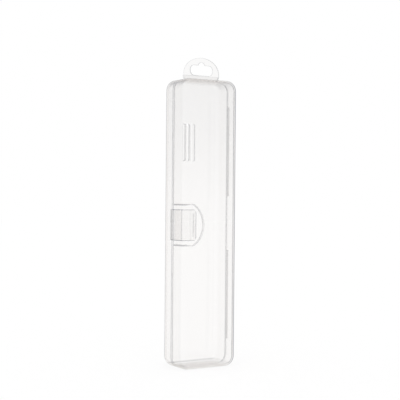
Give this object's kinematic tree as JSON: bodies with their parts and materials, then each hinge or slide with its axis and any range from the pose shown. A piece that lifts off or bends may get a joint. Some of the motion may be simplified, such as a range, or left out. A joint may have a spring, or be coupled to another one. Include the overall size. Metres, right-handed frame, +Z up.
{
  "type": "makeup brush box",
  "caption": "Clear plastic clamshell box for makeup brushes, with film hinges down one long side, a wrap-round latch on the other and a slotted hang tab.",
  "frame": {"origin": "middle of the box's bottom end, on the surface it stands on", "axes": "+Z up along the box's length to the hang tab, -Y out of the cover's face, +X towards the film hinge and -X towards the latch"},
  "size_m": [0.0485, 0.027, 0.2212],
  "materials": {
    "clear_shell": "clear moulded polypropylene, faintly milky, glossy",
    "clear_film": "thin flexed film of the same polypropylene, a little cloudier",
    "clear_latch": "clear moulded polypropylene, slightly frosted on the flap"
  },
  "bodies": {
    "tray": {"rear_tray": "clear_shell", "lower_hinge_film": "clear_film", "upper_hinge_film": "clear_film", "latch_hinge_film": "clear_film"},
    "cover": {"front_cover": "clear_shell"},
    "latch": {"latch_flap": "clear_latch", "latch_tongue": "clear_latch"}
  },
  "joints": [
    {"name": "cover_hinge", "type": "hinge", "parent": "tray", "child": "cover", "pos_m": [0.02355, 0, 0.1025], "axis": [0, 0, 1], "range_deg": [0, 180]},
    {"name": "latch_hinge", "type": "hinge", "parent": "tray", "child": "latch", "pos_m": [-0.024, 0, 0.10175], "axis": [0, 0, -1], "range_deg": [0, 165], "deforming": ["latch_tongue"]}
  ]
}
